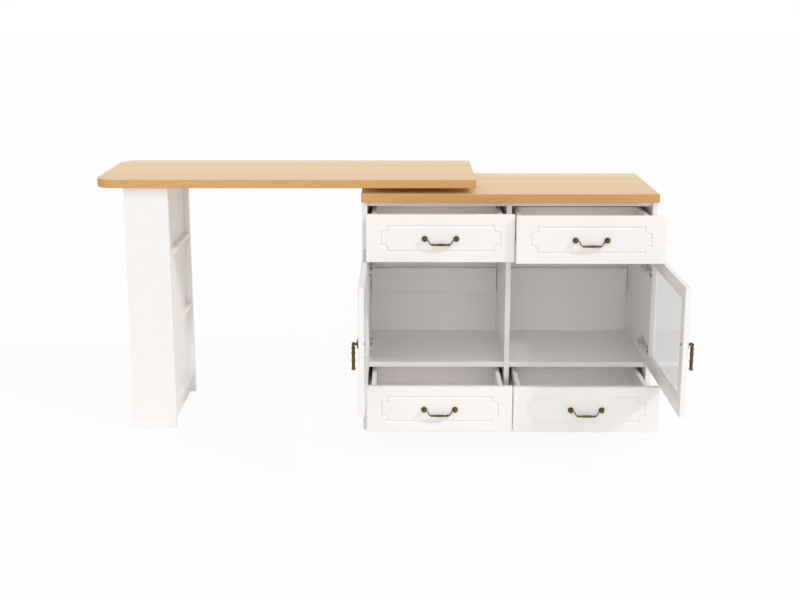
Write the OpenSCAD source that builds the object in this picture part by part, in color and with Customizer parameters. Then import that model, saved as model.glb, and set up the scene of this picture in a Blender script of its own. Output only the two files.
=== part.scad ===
// Kitchen island: a four-drawer, two-door cabinet with a long table top that
// swivels out over it on a ball bearing and stands on a rolling shelf leg.
// The origin is on the floor under the middle of the cabinet.
// +X is to the right, +Z is up and the drawer fronts face -Y.

/* [Tops] */
// Length of the cabinet's worktop
worktop_w = 1040; // [900:10:1300]
// Depth of both tops
top_d = 430; // [380:5:600]
// Thickness of both tops
top_t = 30; // [18:1:40]
// Height of the worktop above the floor
counter_h = 875; // [800:5:950]
// Length of the swivelling table top
table_l = 1330; // [1100:10:1600]
// Distance from the swivel to the table top's inner end
swivel_in = 200; // [150:5:260]
// Distance from the swivel to the worktop's left end
swivel_on = 200; // [150:5:260]
// Radius of the two outer corners of the table top
corner_r = 60; // [10:1:120]

/* [Cabinet] */
// Thickness of the cabinet's boards
board_t = 18; // [15:1:25]
// Overhang of the worktop past each side panel
end_overhang = 3; // [0:1:20]
// Overhang of the worktop past the front edges of the side panels
front_overhang = 10; // [2:1:30]
// Overhang of the worktop past the back panel
back_overhang = 20; // [5:1:40]
// Thickness of the back panel
back_t = 6; // [3:0.5:12]
// Height of the plinth
plinth_h = 87; // [60:1:140]
// Height of the rail across the back of each cupboard
back_rail_h = 95; // [60:1:140]
// Thickness of the rail across the back of each cupboard
back_rail_t = 18; // [10:1:25]
// Depth of the stretchers under the worktop
stretcher_d = 60; // [40:1:90]

/* [Drawers] */
// Height of each drawer front
front_h = 162; // [130:1:200]
// Gap above and below each front
front_gap = 3; // [2:0.5:5]
// Gap at each end of a front
end_gap = 2; // [1:0.5:4]
// Thickness of a drawer box's boards
box_t = 15; // [12:0.5:18]
// Height of a drawer box
box_h = 100; // [70:1:120]
// Distance from a front's lower edge up to its box
box_rise = 22; // [16:1:28]
// Length of a drawer box behind its front
box_l = 350; // [300:5:365]
// Thickness of a drawer's bottom panel
box_floor_t = 5; // [3:0.5:9]
// How far the top left drawer is pulled out
pull_top_left = 203; // [0:1:250]
// How far the top right drawer is pulled out
pull_top_right = 224; // [0:1:250]
// How far the bottom left drawer is pulled out
pull_bottom_left = 228; // [0:1:250]
// How far the bottom right drawer is pulled out
pull_bottom_right = 231; // [0:1:250]

/* [Routed line] */
// Distance of the line from a front's ends
line_end = 50; // [35:1:70]
// Distance of the line from a front's long edges
line_edge = 38; // [30:1:45]
// Width of the line
line_w = 6.5; // [3:0.5:7]
// Depth of the line
line_depth = 2.5; // [1:0.5:4]
// Radius of the scooped corners
scoop_r = 17; // [10:1:24]
// Length of the small shoulder at each end of a scoop
scoop_step = 4; // [2:0.5:8]

/* [Doors] */
// Width of a door's frame members
stile_w = 42; // [36:1:60]
// Thickness of the glass
glass_t = 4; // [3:0.5:6]
// How far the lip in front of the glass reaches past the frame members
glass_lip = 8; // [5:0.5:12]
// Thickness of the lip in front of the glass
glass_lip_t = 4; // [3:0.5:6]
// Angle that each door stands open at
door_open = 90; // [0:1:95]
// Distance of the hinge line behind the door's front face
hinge_back = 3.5; // [3:0.1:5]
// Distance of the hinge line past the door's edge
hinge_out = 11.5; // [11:0.1:13]
// Height of the lower hinge above the door's lower edge
hinge_low = 63; // [50:1:110]
// Distance of the upper hinge below the door's upper edge
hinge_high = 77; // [50:1:110]
// Radius of a hinge cup
cup_r = 17.5; // [13:0.5:17.5]

/* [Drawer slides] */
// Thickness of a closed slide
slide_t = 15; // [13:0.5:18]
// Height of a slide
slide_h = 45; // [35:1:50]
// Length of a slide
slide_l = 350; // [300:5:370]
// Thickness of a slide's sheet steel
slide_sheet = 1.5; // [1:0.1:1.8]

/* [Pulls] */
// Distance between the posts of a drawer pull
pull_span = 105; // [90:1:128]
// Radius of a drawer pull's rosette
rosette_r = 10; // [8.5:0.5:14]
// Distance of a drawer pull's pivot from the front
pull_off = 14; // [13:0.5:20]
// Drop from a drawer pull's pivot to its bar
bail_drop = 17.5; // [15:0.5:26]
// Length of a drawer pull's bar
bar_l = 66; // [60:1:72]
// Length of the thick grip in the middle of the bar
grip_l = 56; // [40:1:56]
// Radius of the grip
bar_r = 4; // [3:0.5:4.5]
// Height of a door pull's post above the door's lower edge
drop_post_up = 235; // [180:1:320]
// Radius of a door pull's rosette
drop_rosette_r = 18; // [12:0.5:19]
// Distance of a door pull's pivot from the door
drop_off = 16; // [14:0.5:26]
// Length of a door pull's drop below its pivot
drop_l = 85; // [60:1:110]

/* [Swivel bearing] */
// Radius of the spacer disc under the bearing
spacer_r = 100; // [90:1:140]
// Radius of the bearing plates
plate_r = 80; // [60:1:88]
// Thickness of the bearing plates
plate_t = 2; // [1.5:0.1:3]
// Height of the whole bearing
bearing_h = 12; // [10:0.5:16]
// Gap between the two tops
tops_gap = 20; // [18:1:40]
// Radius of the balls' circle
race_r = 62; // [45:1:68]
// Number of balls
ball_count = 24; // [8:1:30]
// Radius of the centre hub
hub_r = 12; // [8:0.5:20]

/* [Shelf leg] */
// Width of the leg along the table
leg_w = 154; // [120:1:220]
// Depth of the leg
leg_d = 380; // [280:1:400]
// Distance from the table top's outer end to the leg
leg_in = 98; // [60:1:140]
// Distance from the table top's front edge to the leg
leg_front_in = 19; // [5:1:30]
// Thickness of the leg's shelves
leg_shelf_t = 15; // [12:1:22]
// How far the leg's inner panels are set back
leg_recess = 19; // [5:1:40]
// Height of the top of the leg's bottom board
leg_floor_z = 95; // [85:1:130]
// Height of each of the leg's two lower compartments
leg_space_h = 263; // [200:1:300]
// Gap between the leg's panels and the floor
leg_floor_gap = 4; // [2:1:10]
// Radius of the rollers
roller_r = 28; // [20:1:32]
// Width of the rollers
roller_w = 20; // [14:1:30]
// Distance of the rollers' axles from the ends of the leg
roller_in = 62; // [45:1:90]

/* [Fit] */
// Gap between parts that slide or turn past each other
clear = 0.3; // [0.2:0.05:0.5]
// Radial clearance of a pin in its bore
pin_clear = 0.08; // [0.04:0.01:0.1]

/* [Hidden] */
$fn = 48;

// How far a cut reaches past the face that it opens.
over = 1;

// The two bays, and the two ends of the leg.
LEFT = -1;
RIGHT = 1;

// Cabinet, from the outside in.
body_half = worktop_w / 2 - end_overhang;
bay_out = body_half - board_t;
bay_in = board_t / 2;
bay_w = bay_out - bay_in;
body_front = -top_d / 2 + front_overhang;
body_back = top_d / 2 - back_overhang;
under_top = counter_h - top_t;
inner_front = body_front + board_t + end_gap;
inner_back = body_back - back_t;

// Heights of the fronts.
low_front_z = plinth_h + front_gap;
door_z = low_front_z + front_h + front_gap;
high_front_z = under_top - front_gap - front_h;
door_h = high_front_z - front_gap - door_z;
front_w = bay_out - 3 / 2 * end_gap;
front_x = (bay_out - end_gap / 2) / 2;
floor_z = low_front_z + front_h - board_t;
deck_z = high_front_z - front_gap / 2 - board_t / 2;
bay_x = (bay_in + bay_out) / 2;

// Drawer boxes and slides.
box_w = bay_w - 2 * slide_t;
slide_up = box_rise + box_h / 2;
slide_y = body_front + board_t;
box_floor_up = 8;
box_groove = box_t / 2;

// Where the channels of a slide reach to, measured from the bay's wall.
rail_lip_x = slide_t - 4;
middle_web_x = 2 * slide_sheet;
middle_lip_x = slide_t - 3;
inner_lip_x = middle_web_x + slide_sheet + 1;

// Doors.
door_w = front_w;
glass_w = door_w - 2 * stile_w;
glass_h = door_h - 2 * stile_w;
glass_y = body_front + glass_lip_t;
hinge_x = front_x + door_w / 2 + hinge_out;
hinge_y = body_front + hinge_back;
drop_x = stile_w / 2 + end_gap / 2;

// Hinges. A link swings with the door about a pin in its arm. With the door
// at a right angle, the knuckle at its end lies beside the pin in the cup.
cup_in = 22.5;
cup_depth = 11.5;
cup_fit = 0.1;
cup_rim = 1.2;
cup_rim_w = 4;
cup_wall = 1;
cup_pin_r = 1.5;
cup_pin_deep = 5;
cup_pin_off = 1.6;
arm_w = 16;
arm_l = 60;
arm_h = 15;
arm_start = 6;
arm_plate_t = 3;
arm_plate_h = 44;
arm_plate_l = 20;
arm_slot_l = 24;
arm_slot_w = 9.5;
arm_nose_x = bay_out - arm_plate_t - arm_h;
link_t = 3;
link_pin_r = 2;
link_boss_r = 3.5;
link_x = arm_nose_x + 3;
link_y = inner_front + 12;
knuckle_r = 2;
knuckle_turn = 49;
knuckle_off = knuckle_r + cup_pin_r + clear;
link_l = link_y - hinge_y + hinge_out + cup_in - cup_pin_off
    - knuckle_off * sin(knuckle_turn);
link_in = hinge_x - link_x - (board_t - hinge_back - cup_pin_deep)
    - knuckle_off * cos(knuckle_turn);

// Pulls.
post_boss_r = 5.5;
post_base_t = 3;
post_ball_r = 6.5;
pull_pin_r = 1.9;
pin_in = 4;
bail_leg_in = 10;
bail_leg_r = 2;
bail_elbow_r = 2.5;
bar_end_r = 2.3;
bar_knob_r = 3;
bar_ring_r = 4.6;
bar_ring_w = 2.5;
cheek_r = 5;
cheek_t = 2.5;
eye_r = 4.5;
eye_half = 2.6;
drop_pin_r = 1.5;
drop_stem_r = 4;
drop_rosette_t = 6;
drop_rim_t = 1.5;
drop_dome_h = drop_rosette_t - drop_rim_t;
drop_dome_in = 1;
drop_dome_r = (pow(drop_rosette_r - drop_dome_in, 2) + pow(drop_dome_h, 2))
    / (2 * drop_dome_h);
drop_neck_r = 2.4;
drop_neck_up = eye_r - 1;
// The turned outline of a door pull's drop below its neck: the distance
// below the pivot as a share of drop_l, and the radius there.
DROP_TURNS = [
    [0.065, drop_neck_r], [0.08, 4.6], [0.15, 6], [0.245, 4.2],
    [0.33, 5.6], [0.35, 6.2], [0.595, 4.2], [0.62, 5.8], [0.64, 6.2],
    [0.89, 4.4], [0.93, 5.4], [0.96, 6.2], [1, 5.6]
];

// Table top, swivel and leg.
swivel_x = -worktop_w / 2 + swivel_on;
table_z = counter_h + tops_gap;
table_right = swivel_x + swivel_in;
table_left = table_right - table_l;
spacer_t = tops_gap - bearing_h;
bearing_z = counter_h + spacer_t;
race_z = bearing_z + bearing_h / 2;
ball_r = bearing_h / 2 - plate_t - clear;
cage_t = 2.4;
cage_half = 7;
hub_wall = 3;
plate_hole_r = 3;
plate_hole_in = 8;
spacer_hole_r = 30;
leg_left = table_left + leg_in;
leg_right = leg_left + leg_w;
leg_front = -top_d / 2 + leg_front_in;
leg_back = leg_front + leg_d;
leg_board_z = leg_floor_z - leg_shelf_t;
leg_step = leg_space_h + leg_shelf_t;
LEG_LEVELS = [leg_board_z, leg_board_z + leg_step,
              leg_board_z + 2 * leg_step, table_z - leg_shelf_t];
bracket_t = 3;
bracket_gap = 1;
bracket_l = 34;
axle_r = 4;
tire_edge = 3;

// A box given by its lowest and highest corners.
module span(lo, hi) {
    translate(lo) cube(hi - lo);
}

// Puts a piece of the right bay in the bay of that side.
module in_bay(side) {
    if (side == LEFT) mirror([1, 0, 0]) children();
    else children();
}

// ---- Cabinet body ----

module side_panel(side) {
    color("white") in_bay(side)
        span([bay_out, body_front, 0], [body_half, body_back, under_top]);
}

module divider_panel() {
    color("white")
        span([-bay_in, inner_front, plinth_h], [bay_in, inner_back, under_top]);
}

module bottom_panel() {
    color("white")
        span([-bay_out, inner_front, plinth_h - board_t],
             [bay_out, inner_back, plinth_h]);
}

module plinth() {
    color("white") {
        span([-bay_out, body_front, 0],
             [bay_out, body_front + board_t, plinth_h]);
        span([-bay_out, inner_back - board_t, 0],
             [bay_out, inner_back, plinth_h - board_t]);
        span([-bay_in, body_front + board_t, 0],
             [bay_in, inner_back - board_t, plinth_h - board_t]);
    }
}

module fixed_shelves() {
    color("white")
        for (side = [LEFT, RIGHT], z = [floor_z, deck_z])
            in_bay(side)
                span([bay_in, inner_front, z],
                     [bay_out, inner_back, z + board_t]);
}

module back_rails() {
    rail_z = (floor_z + board_t + deck_z) / 2;
    color("white")
        for (side = [LEFT, RIGHT]) in_bay(side)
            span([bay_in + end_gap, inner_back - back_rail_t,
                  rail_z - back_rail_h / 2],
                 [bay_out - end_gap, inner_back, rail_z + back_rail_h / 2]);
}

module top_rails() {
    color("white")
        for (side = [LEFT, RIGHT],
             y = [inner_front, inner_back - stretcher_d])
            in_bay(side)
                span([bay_in, y, under_top - board_t],
                     [bay_out, y + stretcher_d, under_top]);
}

module back_panel() {
    color("white")
        span([-bay_out, inner_back, 0], [bay_out, body_back, under_top]);
}

module worktop() {
    color("burlywood")
        span([-worktop_w / 2, -top_d / 2, under_top],
             [worktop_w / 2, top_d / 2, counter_h]);
}

// ---- Drawer slides: three nested channels, drawn for one bay side ----

// One channel of a slide: a web at x and two lips that reach to lip_x.
module channel(x, lip_x, half_h) {
    web_far = x + sign(lip_x - x) * slide_sheet;
    span([min(x, web_far), 0, -half_h],
         [max(x, web_far), slide_l, half_h]);
    for (s = [-1, 1])
        translate([min(x, lip_x), 0,
                   s * half_h - (s + 1) / 2 * slide_sheet])
            cube([abs(lip_x - x), slide_l, slide_sheet]);
}

// Puts a slide's channel at both walls of a bay, at a drawer's height.
module both_walls(side, z, out) {
    in_bay(side) translate([0, slide_y - out, z + slide_up]) {
        translate([bay_in, 0, 0]) children();
        translate([bay_out, 0, 0]) mirror([1, 0, 0]) children();
    }
}

module slide_rails() {
    color("dimgray")
        for (side = [LEFT, RIGHT], z = [low_front_z, high_front_z])
            both_walls(side, z, 0)
                channel(0, rail_lip_x, slide_h / 2);
}

module slide_middle(side, z, out) {
    color("gray")
        both_walls(side, z, out / 2)
            channel(middle_web_x, middle_lip_x,
                    slide_h / 2 - slide_sheet - clear);
}

module slide_inner(side, z, out) {
    color("silver")
        both_walls(side, z, out)
            channel(slide_t, inner_lip_x,
                    slide_h / 2 - 2 * (slide_sheet + clear));
}

// ---- Drawers, drawn closed in the right bay and then placed ----

module place_drawer(side, z, out) {
    in_bay(side) translate([0, -out, z]) children();
}

// The routed line's outline: a panel with scooped corners, grown by grow.
module line_outline(grow) {
    w = front_w - 2 * line_end + 2 * grow;
    h = front_h - 2 * line_edge + 2 * grow;
    far_x = front_w / 2 - line_end;
    far_z = front_h / 2 - line_edge;
    r = scoop_r - grow;
    difference() {
        square([w, h], center = true);
        for (sx = [-1, 1], sz = [-1, 1]) scale([sx, sz]) {
            translate([far_x - scoop_step, far_z - scoop_step]) circle(r);
            translate([far_x - scoop_step - r, far_z - scoop_step])
                square([scoop_r + scoop_step + r, scoop_r]);
            translate([far_x - scoop_step, far_z - scoop_step - r])
                square([scoop_r, scoop_r + scoop_step + r]);
        }
    }
}

module drawer_front(side, z, out) {
    color("white") place_drawer(side, z, out)
        translate([front_x, body_front, front_h / 2])
            difference() {
                span([-front_w / 2, 0, -front_h / 2],
                     [front_w / 2, board_t, front_h / 2]);
                translate([0, line_depth, 0]) rotate([90, 0, 0])
                    linear_extrude(2 * line_depth) difference() {
                        line_outline(line_w / 2);
                        line_outline(-line_w / 2);
                    }
            }
}

module drawer_box(side, z, out) {
    y0 = body_front + board_t;
    y1 = y0 + box_l;
    color("white") place_drawer(side, z, out)
        translate([bay_x, 0, box_rise]) {
            for (s = [-1, 1]) scale([s, 1, 1])
                difference() {
                    span([box_w / 2 - box_t, y0, 0], [box_w / 2, y1, box_h]);
                    span([box_w / 2 - 2 * box_t, y0 - over, box_floor_up],
                         [box_w / 2 - box_groove, y1 - box_t,
                          box_floor_up + box_floor_t]);
                }
            span([-box_w / 2 + box_t, y1 - box_t, 0],
                 [box_w / 2 - box_t, y1, box_h]);
            span([-box_w / 2 + box_groove, y0, box_floor_up],
                 [box_w / 2 - box_groove, y1 - box_t,
                  box_floor_up + box_floor_t]);
        }
}

// A pull's own frame: its pivot line along X, its front face at +pull_off.
module at_pull(side, z, out) {
    place_drawer(side, z, out)
        translate([front_x, body_front - pull_off, front_h / 2]) children();
}

module pull_posts(side, z, out) {
    color("saddlebrown") at_pull(side, z, out)
        for (s = [-1, 1]) scale([s, 1, 1])
            translate([pull_span / 2, 0, 0]) difference() {
                rotate([-90, 0, 0]) rotate_extrude() union() {
                    translate([0, pull_off - post_base_t])
                        square([rosette_r, post_base_t]);
                    translate([0, pull_off - 2 * post_base_t])
                        square([rosette_r - post_base_t, post_base_t]);
                    square([post_boss_r, pull_off - post_base_t]);
                    intersection() {
                        circle(post_ball_r);
                        translate([0, -post_ball_r])
                            square([post_ball_r, 2 * post_ball_r]);
                    }
                }
                rotate([0, -90, 0])
                    cylinder(r = pull_pin_r + pin_clear,
                             h = post_ball_r + over);
            }
}

// Half of the bar's outline, as radius over length: thin ends, and a grip
// with a ring at its middle and at both its ends.
module bar_profile() {
    translate([0, -bar_l / 2]) square([bar_end_r, bar_l]);
    translate([0, -grip_l / 2]) square([bar_r, grip_l]);
    for (at = [-1, 0, 1] * (grip_l - bar_ring_w) / 2)
        translate([0, at - bar_ring_w / 2])
            square([bar_ring_r, bar_ring_w]);
}

module pull_bail(side, z, out) {
    start = pull_span / 2 - bail_leg_in;
    dx = start - bar_l / 2;
    lean = atan2(dx, bail_drop);
    color("saddlebrown") at_pull(side, z, out) {
        translate([0, 0, -bail_drop]) rotate([0, 90, 0])
            rotate_extrude() bar_profile();
        for (s = [-1, 1]) scale([s, 1, 1]) {
            translate([start, 0, 0]) rotate([0, 90, 0])
                cylinder(r = pull_pin_r,
                         h = pull_span / 2 - post_ball_r + pin_in - start);
            translate([start, 0, 0]) sphere(bail_elbow_r);
            translate([bar_l / 2, 0, -bail_drop]) sphere(bar_knob_r);
            translate([bar_l / 2, 0, -bail_drop]) rotate([0, lean, 0])
                cylinder(r = bail_leg_r, h = norm([dx, bail_drop]));
        }
    }
}

// ---- Doors, drawn closed in the right bay and then swung open ----

module place_door(side) {
    in_bay(side)
        translate([hinge_x, hinge_y, 0]) rotate([0, 0, door_open])
            translate([-hinge_x, -hinge_y, 0]) children();
}

// Both hinge heights of a door.
module at_hinges() {
    for (z = [door_z + hinge_low, door_z + door_h - hinge_high])
        translate([0, 0, z]) children();
}

// A door is a frame whose glass lies in a rebate behind a thin front lip.
module door_frame(side) {
    color("white") place_door(side) difference() {
        door_block(door_w, door_h, body_front, board_t);
        door_block(glass_w, glass_h, glass_y, board_t);
        door_block(glass_w - 2 * glass_lip, glass_h - 2 * glass_lip,
                   body_front - over, board_t);
        cup_holes(body_front + board_t);
    }
}

// A block centred on the closed door, from y and t thick.
module door_block(w, h, y, t) {
    translate([front_x - w / 2, y, door_z + door_h / 2 - h / 2])
        cube([w, t, h]);
}

module cup_holes(inner_y) {
    at_hinges()
        translate([hinge_x - hinge_out - cup_in, inner_y, 0])
            rotate([90, 0, 0]) cylinder(r = cup_r + cup_fit, h = cup_depth);
}

module door_glass(side) {
    color("lightgray", 0.4) place_door(side)
        door_block(glass_w, glass_h, glass_y, glass_t);
}

// Each cup has a rim on the door's inner face and a pin across its hollow.
module hinge_cups(side) {
    color("silver") place_door(side) at_hinges()
        translate([hinge_x - hinge_out - cup_in, body_front + board_t, 0]) {
            rotate([90, 0, 0]) difference() {
                union() {
                    cylinder(r = cup_r, h = cup_depth);
                    translate([0, 0, -cup_rim])
                        cylinder(r = cup_r + cup_rim_w / 2, h = cup_rim);
                }
                translate([0, 0, -cup_rim - over])
                    cylinder(r = cup_r - cup_wall,
                             h = cup_depth + cup_rim + over - cup_wall);
            }
            translate([cup_pin_off, -cup_pin_deep, 0])
                cylinder(r = cup_pin_r, h = 2 * cup_r - cup_wall,
                         center = true);
        }
}

// The plates and arms on the side panels. Each arm has a slot for its link,
// open towards the door, and a pin across the slot.
module hinge_arms() {
    color("silver")
        for (side = [LEFT, RIGHT]) in_bay(side) at_hinges() {
            span([bay_out - arm_plate_t, slide_y + arm_l - arm_plate_l,
                  -arm_plate_h / 2],
                 [bay_out, slide_y + arm_l, arm_plate_h / 2]);
            difference() {
                span([arm_nose_x, inner_front + arm_start, -arm_w / 2],
                     [bay_out - arm_plate_t, slide_y + arm_l, arm_w / 2]);
                span([arm_nose_x - over, inner_front, -arm_w / 2 + link_t],
                     [arm_nose_x + arm_slot_w, inner_front + arm_slot_l,
                      arm_w / 2 - link_t]);
            }
            translate([link_x, link_y, 0])
                cylinder(r = link_pin_r, h = arm_w - link_t, center = true);
        }
}

// The links between each arm and its cup, turned open with the door. A link
// runs along the door, bends into the cup and ends in its knuckle.
module hinge_links(side) {
    half = arm_w / 2 - link_t - clear;
    color("silver") in_bay(side) at_hinges() translate([link_x, link_y, 0])
        rotate([0, 0, door_open]) difference() {
            union() {
                cylinder(r = link_boss_r, h = 2 * half, center = true);
                span([-link_l - link_t / 2, -link_t / 2, -half],
                     [0, link_t / 2, half]);
                span([-link_l - link_t / 2, -link_in, -half],
                     [-link_l + link_t / 2, 0, half]);
                translate([-link_l, -link_in, 0])
                    cylinder(r = knuckle_r, h = 2 * half, center = true);
            }
            cylinder(r = link_pin_r + pin_clear,
                     h = 2 * (half + over), center = true);
        }
}

// A door pull's own frame: its pivot line along X, the door at +drop_off.
module at_drop(side) {
    place_door(side)
        translate([drop_x, body_front - drop_off, door_z + drop_post_up])
            children();
}

// The rosette is domed towards its stem, and the stem ends in a fork.
module drop_post(side) {
    color("saddlebrown") at_drop(side) {
        difference() {
            rotate([-90, 0, 0]) rotate_extrude() union() {
                translate([0, drop_off - drop_rim_t])
                    square([drop_rosette_r, drop_rim_t]);
                intersection() {
                    translate([0, drop_off - drop_rosette_t])
                        square([drop_rosette_r, drop_rosette_t]);
                    translate([0, drop_off - drop_rosette_t + drop_dome_r])
                        circle(drop_dome_r);
                }
                translate([0, cheek_r / 2])
                    square([drop_stem_r, drop_off - cheek_r / 2]);
            }
            rotate([0, 90, 0])
                cylinder(r = eye_r + clear,
                         h = 2 * (eye_half + clear), center = true);
        }
        for (s = [-1, 1]) scale([s, 1, 1])
            translate([eye_half + clear, 0, 0]) rotate([0, 90, 0])
                cylinder(r = cheek_r, h = cheek_t);
        rotate([0, 90, 0])
            cylinder(r = drop_pin_r, h = 2 * (eye_half + clear + cheek_t),
                     center = true);
    }
}

// The drop's turned outline: radius over distance below the pivot.
function drop_outline() = concat(
    [[0, drop_neck_up], [drop_neck_r, drop_neck_up]],
    [for (turn = DROP_TURNS) [turn[1], turn[0] * drop_l]],
    [[0, drop_l]]
);

module pull_drop(side) {
    color("saddlebrown") at_drop(side)
        difference() {
            union() {
                rotate([180, 0, 0]) rotate_extrude()
                    polygon(drop_outline());
                rotate([0, 90, 0])
                    cylinder(r = eye_r, h = 2 * eye_half, center = true);
            }
            rotate([0, 90, 0])
                cylinder(r = drop_pin_r + pin_clear,
                         h = 2 * (eye_half + over), center = true);
        }
}

// ---- Swivel bearing between the two tops ----

module at_swivel(z) {
    translate([swivel_x, 0, z]) children();
}

// The bearing plates' screw holes.
module plate_holes() {
    for (k = [0 : 3]) rotate([0, 0, 45 + 90 * k])
        translate([plate_r - plate_hole_in, 0, -over])
            cylinder(r = plate_hole_r, h = plate_t + 2 * over);
}

module swivel_spacer() {
    color("burlywood") at_swivel(counter_h) difference() {
        cylinder(r = spacer_r, h = spacer_t);
        translate([0, 0, -over])
            cylinder(r = spacer_hole_r, h = spacer_t + 2 * over);
    }
}

// Lower plate with the fixed hub that the table turns on.
module swivel_plate_lower() {
    color("silver") at_swivel(bearing_z) difference() {
        union() {
            cylinder(r = plate_r, h = plate_t);
            cylinder(r = hub_r, h = bearing_h - clear);
        }
        plate_holes();
        translate([0, 0, -over])
            cylinder(r = hub_r - hub_wall, h = bearing_h + 2 * over);
    }
}

module swivel_plate_upper() {
    color("silver") at_swivel(table_z - plate_t) difference() {
        cylinder(r = plate_r, h = plate_t);
        plate_holes();
        translate([0, 0, -over])
            cylinder(r = hub_r + pin_clear, h = plate_t + 2 * over);
    }
}

// The cage ring with its balls, which turns at half the table's speed.
module swivel_ball_cage() {
    color("gray") at_swivel(race_z) {
        difference() {
            cylinder(r = race_r + cage_half, h = cage_t, center = true);
            cylinder(r = race_r - cage_half, h = cage_t + 2 * over,
                     center = true);
        }
        for (k = [0 : ball_count - 1])
            rotate([0, 0, k * 360 / ball_count])
                translate([race_r, 0, 0]) sphere(ball_r);
    }
}

// ---- Table top and its rolling leg ----

module table_top() {
    color("burlywood") translate([0, 0, table_z]) linear_extrude(top_t) {
        translate([table_left + corner_r, -top_d / 2])
            square([table_l - corner_r, top_d]);
        translate([table_left, -top_d / 2 + corner_r])
            square([2 * corner_r, top_d - 2 * corner_r]);
        for (s = [-1, 1])
            translate([table_left + corner_r, s * (top_d / 2 - corner_r)])
                circle(corner_r);
    }
}

module leg_end_panel(y) {
    color("white")
        span([leg_left, y, leg_floor_gap], [leg_right, y + board_t, table_z]);
}

// The recessed panels between the leg's shelves.
module leg_inner_panels() {
    x1 = leg_right - leg_recess;
    bottoms = concat([leg_floor_gap],
                     [for (z = LEG_LEVELS) z + leg_shelf_t]);
    color("white")
        for (k = [0 : len(LEG_LEVELS) - 1])
            span([x1 - board_t, leg_front + board_t, bottoms[k]],
                 [x1, leg_back - board_t, LEG_LEVELS[k]]);
}

module leg_shelves() {
    color("white")
        for (z = LEG_LEVELS)
            span([leg_left, leg_front + board_t, z],
                 [leg_right, leg_back - board_t, z + leg_shelf_t]);
}

// A roller's own frame: the axle along X at the origin.
module at_roller(side) {
    leg_mid_y = (leg_front + leg_back) / 2;
    translate([(leg_left + leg_right - leg_recess - board_t) / 2,
               leg_mid_y + side * (leg_d / 2 - roller_in), roller_r])
        children();
}

module roller_brackets() {
    half = roller_w / 2 + bracket_gap;
    top_z = leg_board_z - roller_r;
    color("silver")
        for (side = [LEFT, RIGHT]) at_roller(side) {
            span([-half - bracket_t, -bracket_l / 2, top_z - bracket_t],
                 [half + bracket_t, bracket_l / 2, top_z]);
            for (s = [-1, 1]) scale([s, 1, 1])
                span([half, -axle_r - bracket_t, -axle_r - bracket_t],
                     [half + bracket_t, axle_r + bracket_t, top_z]);
            rotate([0, 90, 0])
                cylinder(r = axle_r, h = 2 * (half + bracket_t),
                         center = true);
        }
}

module roller(side) {
    half = roller_w / 2;
    color("dimgray") at_roller(side) rotate([0, 90, 0]) rotate_extrude()
        polygon([[axle_r + pin_clear, -half], [roller_r - tire_edge, -half],
                 [roller_r, -half + tire_edge], [roller_r, half - tire_edge],
                 [roller_r - tire_edge, half], [axle_r + pin_clear, half]]);
}

// ---- Every node ----

side_panel(LEFT);  // side_panel_left
side_panel(RIGHT);  // side_panel_right
divider_panel();
bottom_panel();
plinth();
fixed_shelves();
back_rails();
top_rails();
back_panel();
worktop();
slide_rails();
hinge_arms();
swivel_spacer();
swivel_plate_lower();
swivel_ball_cage();
swivel_plate_upper();
table_top();
leg_end_panel(leg_front);  // leg_front_panel
leg_end_panel(leg_back - board_t);  // leg_back_panel
leg_inner_panels();
leg_shelves();
roller_brackets();
roller(LEFT);  // roller_front
roller(RIGHT);  // roller_back

// Each drawer: its name, its bay, its height and how far it is out.
DRAWERS = [
    ["drawer_top_left", LEFT, high_front_z, pull_top_left],
    ["drawer_top_right", RIGHT, high_front_z, pull_top_right],
    ["drawer_bottom_left", LEFT, low_front_z, pull_bottom_left],
    ["drawer_bottom_right", RIGHT, low_front_z, pull_bottom_right]
];
for (d = DRAWERS) {
    drawer_front(d[1], d[2], d[3]);
    drawer_box(d[1], d[2], d[3]);
    pull_posts(d[1], d[2], d[3]);
    pull_bail(d[1], d[2], d[3]);
    slide_middle(d[1], d[2], d[3]);
    slide_inner(d[1], d[2], d[3]);
}

// Each door: its name and its bay.
DOORS = [["door_left", LEFT], ["door_right", RIGHT]];
for (d = DOORS) {
    door_frame(d[1]);
    door_glass(d[1]);
    hinge_cups(d[1]);
    drop_post(d[1]);
    pull_drop(d[1]);
    hinge_links(d[1]);
}
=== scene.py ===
"""Looks of a kitchen island with drawers, glazed doors and a swivelling table.

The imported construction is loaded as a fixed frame. Each sub-assembly is a
class that builds its boards, tops and fittings as surfaces worked out with
numpy, in metres, and dresses the construction's own steel parts and panes.
"""

import logging  # noqa: E402
import math  # noqa: E402
from collections.abc import Sequence  # noqa: E402
from dataclasses import dataclass, field  # noqa: E402
from enum import Enum  # noqa: E402

import bpy  # noqa: E402
import numpy as np  # noqa: E402
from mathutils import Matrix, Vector  # noqa: E402


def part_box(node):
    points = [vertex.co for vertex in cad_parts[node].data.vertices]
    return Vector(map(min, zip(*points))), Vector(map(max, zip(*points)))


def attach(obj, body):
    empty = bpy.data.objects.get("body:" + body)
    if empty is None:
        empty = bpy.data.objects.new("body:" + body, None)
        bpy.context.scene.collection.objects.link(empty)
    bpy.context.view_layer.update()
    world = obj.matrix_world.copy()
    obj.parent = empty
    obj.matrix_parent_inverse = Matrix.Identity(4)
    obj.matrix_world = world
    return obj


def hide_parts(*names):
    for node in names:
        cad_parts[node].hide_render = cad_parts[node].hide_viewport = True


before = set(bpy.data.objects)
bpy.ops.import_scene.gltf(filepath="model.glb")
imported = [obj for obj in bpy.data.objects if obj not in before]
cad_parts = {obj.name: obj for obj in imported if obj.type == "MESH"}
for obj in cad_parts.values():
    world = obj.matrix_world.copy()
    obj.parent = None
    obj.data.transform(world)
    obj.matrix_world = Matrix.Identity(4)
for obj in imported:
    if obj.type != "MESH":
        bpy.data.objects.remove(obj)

LOG = logging.getLogger("island")
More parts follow.
